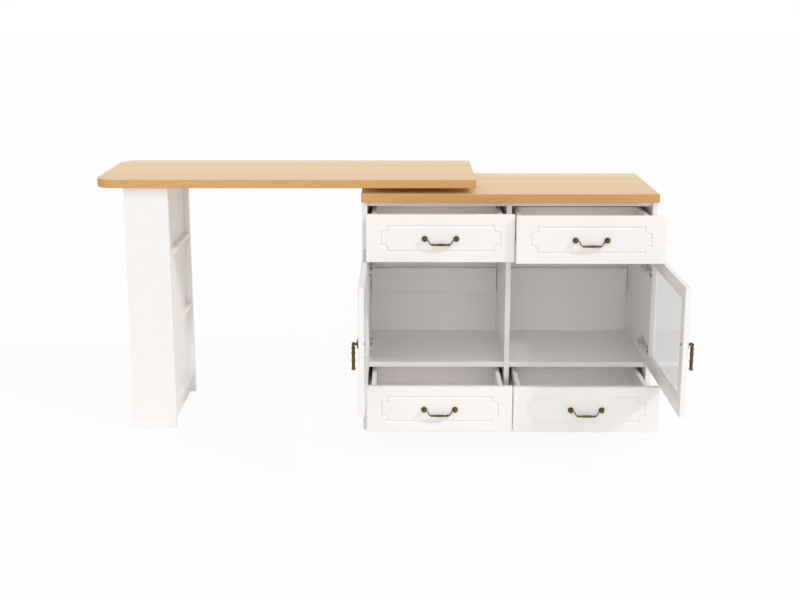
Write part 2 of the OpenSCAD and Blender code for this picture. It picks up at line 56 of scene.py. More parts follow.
MM = 1e-3
Array = np.ndarray
Vec = Sequence[float]
X, Y, Z = np.eye(3)
Socket = bpy.types.NodeSocket
Inputs = dict[int | str, object]
WHITE = (1, 1, 1, 1)
SHARP = math.radians(35)
# The angles inside a corner of a drawer front's loops.
ARC = np.linspace(0, math.pi / 2, 13)[1:-1]
# Where an eased edge's middle point lies, as a share of the edge.
EASED = 0.26
# The routed line: place across its half width, and share of its depth.
LINE_SHARES = (
    (1, 0), (0.9, 0.12), (0.25, 0.9), (0, 1), (-0.25, 0.9), (-0.9, 0.12), (-1, 0),
)
# Moulding of a door frame's inner rim: distance from it, and depth.
RIM_MM = (
    (3.4, 0), (2.6, 0.15), (1.2, 0.9), (0.3, 2.0), (0, 3.2),
)
# A drawer pull's post: radius, and distance behind the pivot.
POST_MM = (
    (9.5, 14.0), (10, 13.5), (10, 12.4), (9.3, 11.7), (8.3, 11.5), (7.9, 11.9),
    (7.4, 11.4), (6.9, 9.6), (5.6, 8.4), (4.9, 7.0), (4.9, 5.6), (5.5, 4.0),
    (6.2, 2.2), (6.5, 0.4), (6.4, -1.4), (5.8, -3.0), (4.6, -4.6), (3.0, -5.8),
    (1.2, -6.4), (0.3, -6.5),
)
# One half of the bail's grip: radius, and distance from its middle.
GRIP_MM = (
    (2.0, 30.5), (2.6, 30.0), (2.9, 29.0), (4.2, 28.4), (4.6, 27.6), (4.6, 26.2),
    (3.6, 25.4), (3.0, 24.6), (3.3, 20.0), (3.9, 14.0), (4.3, 6.0), (4.2, 2.6),
    (4.5, 2.0), (4.6, 1.2), (4.6, 0.4),
)
# A door pull's rosette and stem: radius, and height from the pivot.
STEM_MM = (
    (17.4, -16.0), (18.0, -15.5), (18.0, -14.8), (17.4, -14.3), (15.4, -13.4),
    (12.6, -12.2), (9.6, -11.2), (6.8, -10.5), (5.6, -10.2), (4.6, -9.6), (4.2, -8.4),
    (4.0, -6.4), (4.2, -5.6),
)
# A door pull's drop: radius in mm, and share of its length.
DROP_SHARES = (
    (2.4, 0.04), (2.4, 0.064), (3.6, 0.07), (4.6, 0.082), (5.2, 0.11), (6.0, 0.15),
    (6.0, 0.17), (5.3, 0.21), (5.0, 0.245), (5.2, 0.28), (5.8, 0.315), (6.6, 0.345),
    (6.3, 0.36), (5.6, 0.39), (5.2, 0.45), (5.0, 0.52), (5.1, 0.575), (5.7, 0.605),
    (6.6, 0.635), (6.3, 0.65), (5.6, 0.68), (5.2, 0.76), (5.0, 0.84), (5.1, 0.885),
    (5.8, 0.92), (6.6, 0.955), (6.4, 0.98), (5.0, 0.995), (3.0, 1.0),
)
# A screw's head: radius and height, as shares of its radius.
SCREW_SHARES = (
    (0.97, -0.1), (1, 0.12), (0.9, 0.4), (0.62, 0.58), (0.4, 0.62), (0.34, 0.5),
    (0.26, 0.2), (0.05, 0.16),
)


class Slot(Enum):
    """The record's material slots."""

    LACQUER = "white_lacquer"
    BEECH = "oiled_beech"
    PLYWOOD = "plywood"
    BRASS = "antique_brass"
    SLIDE = "slide_steel"
    ZINC = "zinc_steel"
    GLASS = "clear_glass"
    ROLLER = "roller_plastic"


class Side(Enum):
    """The two bays, by the sign of their x."""

    LEFT = -1
    RIGHT = 1


# ---- Surfaces ----


@dataclass
class Skin:
    """A closed surface: its points, and groups of faces with their finish.

    Attributes:
        points: One row of x, y and z per point, in metres.
        faces: Pairs of rows of point numbers and the finish they take.
    """

    points: Array
    faces: list[tuple[Array, int]] = field(default_factory=list)

    def outward(self) -> "Skin":
        """Returns the skin with its faces pointing out.

        Each face is a fan of triangles from its first point, and each
        triangle a, b, c adds a . (b x c) to six times the signed volume.
        """
        total = 0.0
        for rows, _ in self.faces:
            corner = self.points[rows]
            turned = np.cross(corner[:, 1:-1], corner[:, 2:])
            total += float(np.sum(corner[:, :1] * turned))
        if total >= 0:
            return self
        return Skin(self.points, [(rows[:, ::-1], k) for rows, k in self.faces])


def joined(skins: Sequence[Skin]) -> Skin:
    """Puts closed skins side by side in one.

    Args:
        skins: The skins, each closed by itself.

    Returns:
        One skin that holds them all, every part facing outwards.
    """
    points, faces, count = [], [], 0
    for skin in (one.outward() for one in skins):
        points.append(skin.points)
        faces += [(rows + count, k) for rows, k in skin.faces]
        count += len(skin.points)
    return Skin(np.concatenate(points), faces)


def loft(loops: Array, endless: bool = False, wall: int = 0, plate: int = 0) -> Skin:
    """Joins loops of equally many points into a closed skin.

    The skin runs from point j of loop i to point j of loop i + 1. Flat plates
    close the first and the last loop, unless the loops themselves run round.

    Args:
        loops: Points as loop by point by xyz.
        endless: True if the last loop joins the first.
        wall: Finish of the faces between the loops.
        plate: Finish of the two end plates.

    Returns:
        The closed skin.
    """
    levels, around = loops.shape[:2]
    grid = np.arange(levels * around).reshape(levels, around)
    low = grid if endless else grid[:-1]
    high = np.roll(grid, -1, 0) if endless else grid[1:]
    walls = np.stack(
        [low, np.roll(low, -1, 1), np.roll(high, -1, 1), high], -1
    ).reshape(-1, 4)
    faces = [(walls, wall)]
    if not endless:
        faces += [(grid[:1, ::-1], plate), (grid[-1:], plate)]
    return Skin(loops.reshape(-1, 3), faces).outward()


def rounded_box(lo: Vec, hi: Vec, radius: float, steps: int = 2) -> Skin:
    """Makes a box with rounded edges and corners.

    A point p of the plain box is drawn to q, its nearest point of the box
    that is smaller by the radius, and lies at q + radius (p - q) / |p - q|.
    Grid lines at radius tan(a) from the smaller box give equal steps of the
    angle a from 0 to 45 degrees.

    Args:
        lo: Lowest corner.
        hi: Highest corner.
        radius: Radius of the edges.
        steps: Steps between a face and the middle of an edge.

    Returns:
        The closed skin.
    """
    lo, hi = np.asarray(lo, float), np.asarray(hi, float)
    reach = radius * np.tan(np.linspace(0, math.pi / 4, steps + 1))
    lines = [
        np.concatenate([lo[k] + radius - reach[::-1], hi[k] - radius + reach])
        for k in range(3)
    ]
    count = len(lines[0])
    grid = np.arange(count * count).reshape(count, count)
    quads = np.stack(
        [grid[:-1, :-1], grid[1:, :-1], grid[1:, 1:], grid[:-1, 1:]], -1
    ).reshape(-1, 4)
    points, faces = [], []
    for k in range(3):
        u, v = (k + 1) % 3, (k + 2) % 3
        for at, rows in ((lo[k], quads[:, ::-1]), (hi[k], quads)):
            face = np.empty((count, count, 3))
            face[..., k] = at
            face[..., u], face[..., v] = np.meshgrid(
                lines[u], lines[v], indexing="ij"
            )
            faces.append(rows + len(points) * count * count)
            points.append(face.reshape(-1, 3))
    plain = np.concatenate(points)
    inner = np.clip(plain, lo + radius, hi - radius)
    away = plain - inner
    away /= np.linalg.norm(away, axis=1, keepdims=True)
    found, number = np.unique(
        np.round(inner + radius * away, 8), axis=0, return_inverse=True
    )
    return Skin(found, [(number.reshape(-1)[np.concatenate(faces)], 0)])


def lathe(
    profile: Vec,
    origin: Vec,
    axis: Vec,
    steps: int = 40,
    endless: bool = False,
) -> Skin:
    """Turns a profile about an axis.

    Point j of ring i lies at origin + h_i axis + r_i (u cos a_j + v sin a_j),
    where u and v stand square to the axis.

    Args:
        profile: Pairs of radius and height along the axis, in metres.
        origin: Point of the axis at height 0.
        axis: Direction of the axis, of length 1.
        steps: Points in each ring.
        endless: True if the profile closes on itself, as a ring's does.

    Returns:
        The closed skin.
    """
    radius, height = np.asarray(profile, float).T
    axis = np.asarray(axis, float)
    u = np.cross(axis, X if abs(axis[0]) < 0.5 else Y)
    u /= np.linalg.norm(u)
    v = np.cross(axis, u)
    angle = np.linspace(0, 2 * math.pi, steps, endpoint=False)[:, None]
    spoke = np.cos(angle) * u + np.sin(angle) * v
    loops = (
        np.asarray(origin, float)
        + height[:, None, None] * axis
        + radius[:, None, None] * spoke
    )
    return loft(loops, endless)


def tube(path: Array, radius: float, normal: Vec, sides: int = 16) -> Skin:
    """Carries a circle along a flat path.

    With t the path's direction and n the normal of its plane, the ring at a
    path point lies at that point + radius (n cos a + (t x n) sin a).

    Args:
        path: Points of the path, one row each.
        radius: Radius of the circle.
        normal: Normal of the path's plane, of length 1.
        sides: Points in each ring.

    Returns:
        The closed skin.
    """
    along = np.gradient(path, axis=0)
    along /= np.linalg.norm(along, axis=1, keepdims=True)
    normal = np.asarray(normal, float)
    across = np.cross(along, normal)
    angle = np.linspace(0, 2 * math.pi, sides, endpoint=False)[:, None]
    ring = np.cos(angle) * normal + np.sin(angle) * across[:, None]
    return loft(path[:, None] + radius * ring)


def filleted(corners: Array, cut: float, steps: int = 6) -> Array:
    """Rounds the inner corners of a line of points.

    Each inner corner P becomes the curve (1-s)^2 A + 2 s (1-s) P + s^2 B,
    where A and B lie at the distance cut from P on its two straights.

    Args:
        corners: The line's corners, one row each.
        cut: How far from each corner its curve starts.
        steps: Steps along each curve.

    Returns:
        The rounded line's points.
    """
    before, here, after = corners[:-2], corners[1:-1], corners[2:]

    def towards(there: Array) -> Array:
        """Returns the points at the distance cut from here towards there."""
        way = there - here
        return here + cut * way / np.linalg.norm(way, axis=1, keepdims=True)

    s = np.linspace(0, 1, steps + 1)[:, None]
    start, end = towards(before)[:, None], towards(after)[:, None]
    curve = (1 - s) ** 2 * start + 2 * s * (1 - s) * here[:, None] + s**2 * end
    return np.concatenate([corners[:1], curve.reshape(-1, 3), corners[-1:]])


def quarter(steps: int) -> tuple[Array, Array]:
    """Returns 1 - cos and 1 - sin of equal steps of a quarter turn."""
    angle = np.linspace(0, math.pi / 2, steps + 1)
    return 1 - np.cos(angle), 1 - np.sin(angle)


def slab(lo: Array, hi: Array, radii: Vec, edge: float, steps: int) -> Skin:
    """Makes a flat top with rounded corners and eased long edges.

    Point j of a corner lies at centre + radius n_j in plan, with its normal
    n_j = (cos a_j, sin a_j) and the angle a_j running a quarter turn. At each
    height the outline is drawn in along its normals by edge times 1 - sin a,
    while the height runs over edge times 1 - cos a.

    Args:
        lo: Lowest corner.
        hi: Highest corner.
        radii: Radii in plan, from the far right corner round to the left.
        edge: Radius of the eased edges.
        steps: Steps in each corner.

    Returns:
        The closed skin: finish 0 on its faces and finish 1 on its edges.
    """
    size = np.asarray(radii, float)[:, None]
    sign = np.array([[1, 1], [-1, 1], [-1, -1], [1, -1]])
    centre = np.where(sign > 0, hi[:2], lo[:2]) - size * sign
    turn = np.linspace(0, math.pi / 2, steps + 1)
    angle = turn + np.arange(4)[:, None] * math.pi / 2
    normal = np.stack([np.cos(angle), np.sin(angle)], -1)
    outline = (centre[:, None] + size[:, None] * normal).reshape(-1, 2)
    rise, inset = (edge * part for part in quarter(5))
    height = np.concatenate([lo[2] + rise, hi[2] - rise[::-1]])
    inset = np.concatenate([inset, inset[::-1]])
    flat = outline - inset[:, None, None] * normal.reshape(-1, 2)
    tall = np.broadcast_to(height[:, None, None], (*flat.shape[:2], 1))
    return loft(np.concatenate([flat, tall], -1), wall=1, plate=0)


def boards_in(node: str) -> list[tuple[Array, Array]]:
    """Finds the boxes of the separate solids in a node.

    Corners that lie in one place are one point, and each point takes the
    lowest number among the points that it shares a triangle with, again and
    again, until every solid has a single number.

    Args:
        node: Name of the node.

    Returns:
        The lowest and highest corner of each solid.
    """
    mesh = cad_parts[node].data
    co = np.empty(len(mesh.vertices) * 3, np.float32)
    mesh.vertices.foreach_get("co", co)
    corner = np.empty(len(mesh.loops), np.int32)
    mesh.loops.foreach_get("vertex_index", corner)
    place, number = np.unique(
        np.round(co.reshape(-1, 3), 6), axis=0, return_inverse=True
    )
    triangle = number.reshape(-1)[corner].reshape(-1, 3)
    label = np.arange(len(place))
    while True:
        lowest = label[triangle].min(1)
        new = label.copy()
        for k in range(3):
            np.minimum.at(new, triangle[:, k], lowest)
        if np.array_equal(new, label):
            break
        label = new
    return [
        (place[label == k].min(0), place[label == k].max(0))
        for k in np.unique(label)
    ]


def box_of(node: str) -> tuple[Array, Array]:
    """Returns a node's lowest and highest corner."""
    lo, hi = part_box(node)
    return np.array(lo), np.array(hi)


# ---- Finishes ----


def linear(code: str) -> tuple[float, float, float, float]:
    """Turns an sRGB hex colour into linear light.

    Args:
        code: The colour, as #RRGGBB.

    Returns:
        Linear red, green and blue, and 1 for alpha.
    """
    part = [int(code[k : k + 2], 16) / 255 for k in (1, 3, 5)]
    light = [
        c / 12.92 if c <= 0.04045 else ((c + 0.055) / 1.055) ** 2.4 for c in part
    ]
    return (*light, 1.0)


def feed(tree: bpy.types.NodeTree, node: bpy.types.Node, inputs: Inputs) -> None:
    """Sets or links a node's inputs.

    Args:
        tree: The tree that the node is in.
        node: The node.
        inputs: Values or other nodes' outputs, by input name or number.
    """
    for name, value in inputs.items():
        if isinstance(value, bpy.types.NodeSocket):
            tree.links.new(value, node.inputs[name])
        else:
            node.inputs[name].default_value = value


def add_node(
    tree: bpy.types.NodeTree,
    kind: str,
    inputs: Inputs | None = None,
    **settings: object,
) -> bpy.types.Node:
    """Adds a node with its settings and links.

    Args:
        tree: Where the node goes.
        kind: The node's type, without its prefix.
        inputs: What its inputs take, as feed has it.
        settings: The node's own properties. stops gives a colour ramp's
            places and colours.

    Returns:
        The node.
    """
    node = tree.nodes.new("ShaderNode" + kind)
    stops = settings.pop("stops", ())
    for name, value in settings.items():
        setattr(node, name, value)
    for k, (place, colour) in enumerate(stops):
        element = node.color_ramp.elements[k]
        element.position, element.color = place, colour
    feed(tree, node, inputs or {})
    return node


@dataclass(frozen=True)
class Canvas:
    """A node tree, and the patterns that finishes are made of.

    Attributes:
        tree: The tree that the nodes go into.
    """

    tree: bpy.types.NodeTree

    def add(
        self,
        kind: str,
        out: int | str,
        inputs: Inputs | None = None,
        **settings: object,
    ) -> Socket:
        """Adds a node as add_node does, and returns its output named out."""
        return add_node(self.tree, kind, inputs, **settings).outputs[out]

    def space(self, *size_mm: float) -> Socket:
        """Returns object coordinates, counted in steps of a size.

        Args:
            size_mm: One size for all axes, or one each for x, y and z.
        """
        scale = [1 / (size * MM) for size in (size_mm * 3)[:3]]
        place = self.add("TexCoord", "Object")
        return self.add("Mapping", 0, {0: place, "Scale": scale})

    def noise(self, place: Socket, detail: float, distortion: float = 0.0) -> Socket:
        """Returns a cloudy pattern from 0 to 1."""
        inputs = {"Vector": place, "Detail": detail, "Distortion": distortion}
        return self.add("TexNoise", "Fac", inputs)

    def ramp(self, value: Socket, *stops: tuple[float, str]) -> Socket:
        """Turns a value into colours, given as pairs of place and hex code."""
        light = [(place, linear(code)) for place, code in stops]
        return self.add("ValToRGB", 0, {0: value}, stops=light)

    def spread(self, value: Socket, low: float, high: float) -> Socket:
        """Maps 0 to 1 onto low to high."""
        return self.add("MapRange", 0, {0: value, 3: low, 4: high})

    def bump(self, height: Socket, strength: float, deep_mm: float) -> Socket:
        """Returns the normals of a fine relief."""
        inputs = {"Height": height, "Strength": strength, "Distance": deep_mm * MM}
        return self.add("Bump", 0, inputs)

    def math(self, operation: str, first: Socket, second: Socket | float = 0) -> Socket:
        """Returns the result of a sum on two values."""
        return self.add("Math", 0, {0: first, 1: second}, operation=operation)


@dataclass(frozen=True)
class Finish:
    """What every finish has.

    Attributes:
        name: The real material's name.
        slot: The record's slot for it. Not used.
    """

    name: str
    slot: Slot

    def paint(self, canvas: Canvas) -> Inputs:
        """Adds the finish's pattern, and returns what the shader takes."""
        raise NotImplementedError

    def material(self) -> bpy.types.Material:
        """Returns the finish's material, made the first time it is asked for."""
        found = bpy.data.materials.get(self.name)
        if found is None:
            found = bpy.data.materials.new(self.name)
            found.use_nodes = True
            tree = found.node_tree
            feed(tree, tree.nodes["Principled BSDF"], self.paint(Canvas(tree)))
        return found


@dataclass(frozen=True)
class Lacquer(Finish):
    """Satin lacquer, sprayed on fibreboard and rubbed down.

    It is an even white with a soft sheen. Very slight clouds in the white and
    a spray texture of about 3 mm keep large boards from looking like plastic.
    """

    colour: str
    shade: str
    rough: float = 0.38
    sheen: float = 0.04
    cloud_mm: float = 260.0
    spray_mm: float = 3.0

    def paint(self, canvas: Canvas) -> Inputs:
        """Paints faint clouds, and a fine spray bump."""
        cloud = canvas.noise(canvas.space(self.cloud_mm), 2.0)
        spray = canvas.noise(canvas.space(self.spray_mm), 3.0)
        low, high = self.rough - self.sheen, self.rough + self.sheen
        return {
            "Base Color": canvas.ramp(cloud, (0.35, self.shade), (0.65, self.colour)),
            "Roughness": canvas.spread(spray, low, high),
            "Normal": canvas.bump(spray, 0.05, 0.2),
        }


@dataclass(frozen=True)
class Beech(Finish):
    """Oiled solid beech, glued up from staves and sanded.

    Each stave has its own tone. Long soft streaks run along it, and short
    dark flecks, the wood's rays, lie in its surface.
    """

    pale: str
    deep: str
    fleck: str
    stave_mm: float = 72.0
    stave_share: float = 0.3
    stave_apart: float = 40.0
    streak_mm: tuple[float, float] = (420.0, 7.0)
    fleck_mm: tuple[float, float] = (11.0, 1.0)
    fleck_share: float = 0.35
    rough: float = 0.42
    sheen: float = 0.06

    def paint(self, canvas: Canvas) -> Inputs:
        """Paints the staves, their streaks and their flecks."""
        across = canvas.add("SeparateXYZ", "Y", {0: canvas.add("TexCoord", "Object")})
        row = canvas.math("MULTIPLY", across, 1 / (self.stave_mm * MM))
        stave = {"W": canvas.math("FLOOR", row)}
        tone = add_node(
            canvas.tree, "TexWhiteNoise", stave, noise_dimensions="1D"
        ).outputs
        inputs = {0: tone["Color"], 1: (self.stave_apart,) * 3}
        apart = canvas.add("VectorMath", 0, inputs, operation="MULTIPLY")
        inputs = {0: canvas.space(*self.streak_mm, self.streak_mm[1]), 1: apart}
        place = canvas.add("VectorMath", 0, inputs, operation="ADD")
        streak = canvas.noise(place, 5.0, 0.4)
        inputs = {0: self.stave_share, 2: streak, 3: tone["Value"]}
        share = canvas.add("Mix", 0, inputs, data_type="FLOAT")
        wood = canvas.ramp(share, (0.3, self.deep), (0.68, self.pale))
        ray = canvas.noise(canvas.space(*self.fleck_mm, self.fleck_mm[1]), 1.0)
        spot = canvas.ramp(ray, (0.62, "#000000"), (0.74, "#FFFFFF"))
        amount = canvas.math("MULTIPLY", spot, self.fleck_share)
        inputs = {0: amount, 6: wood, 7: linear(self.fleck)}
        low, high = self.rough - self.sheen, self.rough + self.sheen
        return {
            "Base Color": canvas.add("Mix", "Result", inputs, data_type="RGBA"),
            "Roughness": canvas.spread(streak, high, low),
            "Normal": canvas.bump(streak, 0.12, 0.2),
        }


@dataclass(frozen=True)
class Plywood(Finish):
    """Birch plywood, cut to a disc, with thin light and dark plies."""

    pale: str
    deep: str
    ply_mm: float = 1.4
    grain_mm: float = 50.0

    def paint(self, canvas: Canvas) -> Inputs:
        """Paints bands that are one ply thick."""
        place = canvas.space(self.grain_mm, self.grain_mm, 2 * self.ply_mm)
        inputs = {"Vector": place, "Scale": 1 / math.pi, "Distortion": 1.0}
        band = canvas.add("TexWave", "Fac", inputs, bands_direction="Z")
        return {
            "Base Color": canvas.ramp(band, (0.3, self.deep), (0.7, self.pale)),
            "Roughness": 0.6,
        }


@dataclass(frozen=True)
class AntiqueBrass(Finish):
    """Cast brass, darkened chemically and rubbed.

    Brown patina lies in patches over warm metal, and the rubbed places shine
    a little more.
    """

    patina: str
    rubbed: str
    patch_mm: float = 7.0
    rough: tuple[float, float] = (0.3, 0.46)

    def paint(self, canvas: Canvas) -> Inputs:
        """Paints the patches, which change both colour and gloss."""
        patch = canvas.noise(canvas.space(self.patch_mm), 4.0)
        return {
            "Base Color": canvas.ramp(patch, (0.38, self.patina), (0.68, self.rubbed)),
            "Roughness": canvas.spread(patch, self.rough[1], self.rough[0]),
            "Metallic": 1.0,
        }


@dataclass(frozen=True)
class PlatedSteel(Finish):
    """Zinc-plated sheet steel, with fine lines along the rolling direction."""

    colour: str
    shade: str
    rough: float
    metallic: float
    sheen: float = 0.05
    line_mm: tuple[float, float] = (60.0, 0.8)

    def paint(self, canvas: Canvas) -> Inputs:
        """Paints the rolling lines, along y."""
        long_mm, wide_mm = self.line_mm
        line = canvas.noise(canvas.space(wide_mm, long_mm, wide_mm), 2.0)
        low, high = self.rough - self.sheen, self.rough + self.sheen
        return {
            "Base Color": canvas.ramp(line, (0.3, self.shade), (0.7, self.colour)),
            "Roughness": canvas.spread(line, low, high),
            "Metallic": self.metallic,
        }


@dataclass(frozen=True)
class FloatGlass(Finish):
    """Clear float glass, 4 mm thick, with a faint grey-green cast."""

    tint: str
    ripple_mm: float = 180.0

    def paint(self, canvas: Canvas) -> Inputs:
        """Lets light through, with the slight waviness of a real pane."""
        wave = canvas.noise(canvas.space(self.ripple_mm), 0.0)
        return {
            "Base Color": linear(self.tint),
            "Roughness": 0.02,
            "IOR": 1.5,
            "Transmission Weight": 1.0,
            "Normal": canvas.bump(wave, 0.02, 1.0),
        }


@dataclass(frozen=True)
class Moulded(Finish):
    """Moulded polyamide with a fine spark-eroded grain."""

    colour: str
    grain_mm: float = 0.8

    def paint(self, canvas: Canvas) -> Inputs:
        """Sets the colour, and a fine grain as bump."""
        grain = canvas.noise(canvas.space(self.grain_mm), 2.0)
        return {
            "Base Color": linear(self.colour),
            "Roughness": 0.55,
            "Normal": canvas.bump(grain, 0.2, 0.1),
        }


LACQUER = Lacquer("satin lacquer on fibreboard", Slot.LACQUER, "#F9F5F3", "#F8F4F2")
BEECH_FACE = Beech("oiled beech, face", Slot.BEECH, "#F6DCB4", "#ECC894", "#CE9E66")
# The edge copy of the beech has a deeper, more saturated tone, as oiled edges have. It
# is also darker as painted shade, for edges that get less light than the faces.
BEECH_EDGE_TONE_AND_SHADE = Beech("oiled beech, edge, deeper tone and painted shade", Slot.BEECH, "#E8BA7C", "#D6A05E", "#AE763C")
PLYWOOD = Plywood("birch plywood", Slot.PLYWOOD, "#D9B98A", "#A77F4F")
BRASS = AntiqueBrass("antique brass", Slot.BRASS, "#2A2010", "#917A44")
SLIDE_STEEL = PlatedSteel(
    "grey zinc-plated steel", Slot.SLIDE, "#A6A6A6", "#949494", 0.5, 0.6
)
ZINC = PlatedSteel(
    "bright zinc-plated steel", Slot.ZINC, "#E2E2E0", "#CECECC", 0.45, 0.5
)
GLASS = FloatGlass("clear float glass", Slot.GLASS, "#F4F6F5")
ROLLER = Moulded("dark grey polyamide", Slot.ROLLER, "#2B2B2C")


# ---- Pieces ----


def placed(name: str, data: bpy.types.ID) -> bpy.types.Object:
    """Makes an object of some data and links it into the scene."""
    made = bpy.data.objects.new(name, data)
    bpy.context.scene.collection.objects.link(made)
    return made


def add_object(name: str, skin: Skin) -> bpy.types.Object:
    """Puts a skin into a new object in the scene.

    Args:
        name: The object's name.
        skin: Its surface.

    Returns:
        The object.
    """
    mesh = bpy.data.meshes.new(name)
    rows = [row for part, _ in skin.faces for row in part.tolist()]
    mesh.from_pydata(skin.points.tolist(), [], rows)
    kind = np.concatenate([np.full(len(part), k) for part, k in skin.faces])
    mesh.polygons.foreach_set("material_index", kind.astype(np.int32))
    mesh.update()
    return placed(name, mesh)


def take_out(piece: bpy.types.Object, cut: Skin) -> None:
    """Cuts a surface's inside out of a piece, and keeps the result.

    Args:
        piece: The object that is cut.
        cut: The closed surface of what is taken out.
    """
    cutter = add_object(piece.name + "_cutter", cut)
    carve = piece.modifiers.new("cut", "BOOLEAN")
    carve.operation, carve.solver, carve.object = "DIFFERENCE", "EXACT", cutter
    graph = bpy.context.evaluated_depsgraph_get()
    carved = bpy.data.meshes.new_from_object(piece.evaluated_get(graph))
    piece.modifiers.clear()
    old, piece.data = piece.data, carved
    bpy.data.meshes.remove(old)
    bpy.data.meshes.remove(cutter.data)


def make_piece(
    name: str,
    body: str,
    skin: Skin,
    *finishes: Finish,
    replaces: str = "",
    cut: Skin | None = None,
) -> None:
    """Makes an object of a skin and fits it to the frame.

    Args:
        name: Name of the piece.
        body: The body that it rides on.
        skin: Its closed surface.
        finishes: Its finishes, in the order of the skin's numbers.
        replaces: The node that it stands for, if any.
        cut: A closed surface that is taken out of it, if any.
    """
    piece = add_object(name, skin)
    for finish in finishes:
        piece.data.materials.append(finish.material())
    if cut is not None:
        take_out(piece, cut)
    mesh = piece.data
    mesh.polygons.foreach_set("use_smooth", np.ones(len(mesh.polygons), bool))
    mesh.set_sharp_from_angle(angle=SHARP)
    normals = piece.modifiers.new("even faces", "WEIGHTED_NORMAL")
    normals.keep_sharp = True
    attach(piece, body)
    if replaces:
        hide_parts(replaces)
    LOG.info("%s: %d points on %s", name, len(mesh.vertices), body)


def dress(finish: Finish, *nodes: str) -> None:
    """Gives nodes of the construction their finish.

    Args:
        finish: The finish.
        nodes: Names of the nodes.
    """
    for name in nodes:
        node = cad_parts[name]
        if not node.material_slots:
            node.data.materials.append(None)
        for place in node.material_slots:
            place.material = finish.material()
        LOG.info("%s: dressed in %s", name, finish.name)


def boards(bounds: Sequence[tuple[Vec, Vec]], edge: float) -> Skin:
    """Makes one skin of boards with eased edges.

    Args:
        bounds: The lowest and highest corner of each board.
        edge: Radius of their edges.

    Returns:
        The skin.
    """
    return joined([rounded_box(lo, hi, edge) for lo, hi in bounds])


def make_boards(body: str, edge: float, *nodes: str) -> None:
    """Makes a lacquered piece of the boards in each node.

    Args:
        body: The body that they ride on.
        edge: Radius of their edges.
        nodes: Names of the nodes.
    """
    for node in nodes:
        skin = boards(boards_in(node), edge)
        make_piece(node + "_board", body, skin, LACQUER, replaces=node)


def make_top(node: str, body: str, radii: Vec, edge: float, steps: int) -> None:
    """Makes a wooden top, with one finish on its faces and one on its edges.

    Args:
        node: The top's node.
        body: The body that it rides on.
        radii: Radii of its corners, as slab has them.
        edge: Radius of its long edges.
        steps: Steps in each corner.
    """
    skin = slab(*box_of(node), radii, edge, steps)
    # The edges take the beech copy that is more saturated and also darker as painted
    # shade.
    make_piece(node + "_wood", body, skin, BEECH_FACE, BEECH_EDGE_TONE_AND_SHADE, replaces=node)


def screw_head(place: Vec, axis: Vec, radius: float) -> Skin:
    """Turns the low round head of a screw with a sunk middle.

    Args:
        place: Middle of its seat.
        axis: Direction that it faces.
        radius: Its radius.

    Returns:
        The closed skin.
    """
    return lathe(radius * np.array(SCREW_SHARES), place, axis, steps=20)


def mirrored(side: Sequence[Vec]) -> Array:
    """Adds the mirror image of half a profile, back to its start.

    Args:
        side: Pairs of radius and height along the axis, for one end.

    Returns:
        The whole profile.
    """
    half = np.array(side, float)
    return np.concatenate([half, half[::-1] * (1, -1)])


@dataclass
class Cabinet:
    """The cabinet's carcass, its worktop and the steel fixed to it.

    Attributes:
        body: The body that all of it rides on.
        board: Thickness of the boards.
        edge: Radius of the boards' eased edges.
        top_edge: Radius of the worktop's long edges.
        top_corner: Radius of the worktop's corners in plan.
        hinge_heights: Heights of the hinges.
        hinge_plate: Place of the hinge plates' face, in x and y.
        screw_up: Distance of a hinge plate's screws from its middle.
        screw_r: Radius of their heads.
    """

    body: str = "cabinet"
    board: float = 18 * MM
    edge: float = 0.9 * MM
    top_edge: float = 2.2 * MM
    top_corner: float = 3.0 * MM
    hinge_heights: tuple[float, float] = (318 * MM, 600 * MM)
    hinge_plate: tuple[float, float] = (496 * MM, -137 * MM)
    screw_up: float = 16 * MM
    screw_r: float = 3.6 * MM

    def build(self) -> None:
        """Builds the carcass and its top, and dresses the fixed steel."""
        sides = ("side_panel_left", "side_panel_right", "divider_panel")
        flats = ("bottom_panel", "fixed_shelves", "back_rails", "top_rails")
        make_boards(self.body, self.edge, *sides, *flats, "back_panel")
        self.build_plinth()
        make_top("worktop", self.body, [self.top_corner] * 4, self.top_edge, 6)
        self.build_screws()
        dress(SLIDE_STEEL, "slide_rails")
        dress(ZINC, "hinge_arms", "swivel_plate_lower")
        dress(PLYWOOD, "swivel_spacer")

    def build_plinth(self) -> None:
        """Builds the plinth: a board in front, one behind and a runner."""
        lo, hi = box_of("plinth")
        front_y, back_y = lo[1] + self.board, hi[1] - self.board
        low_top, half = hi[2] - self.board, self.board / 2
        bounds = [
            (lo, (hi[0], front_y, hi[2])),
            ((lo[0], back_y, lo[2]), (hi[0], hi[1], low_top)),
            ((-half, front_y, lo[2]), (half, back_y, low_top)),
        ]
        skin = boards(bounds, self.edge)
        make_piece("plinth_boards", self.body, skin, LACQUER, replaces="plinth")

    def build_screws(self) -> None:
        """Builds the round heads of the screws in the hinge plates."""
        x, y = self.hinge_plate
        heads = [
            screw_head(
                (side.value * x, y, z + way * self.screw_up),
                -side.value * X,
                self.screw_r,
            )
            for side in Side
            for z in self.hinge_heights
            for way in (-1, 1)
        ]
        make_piece("hinge_plate_screws", self.body, joined(heads), ZINC)


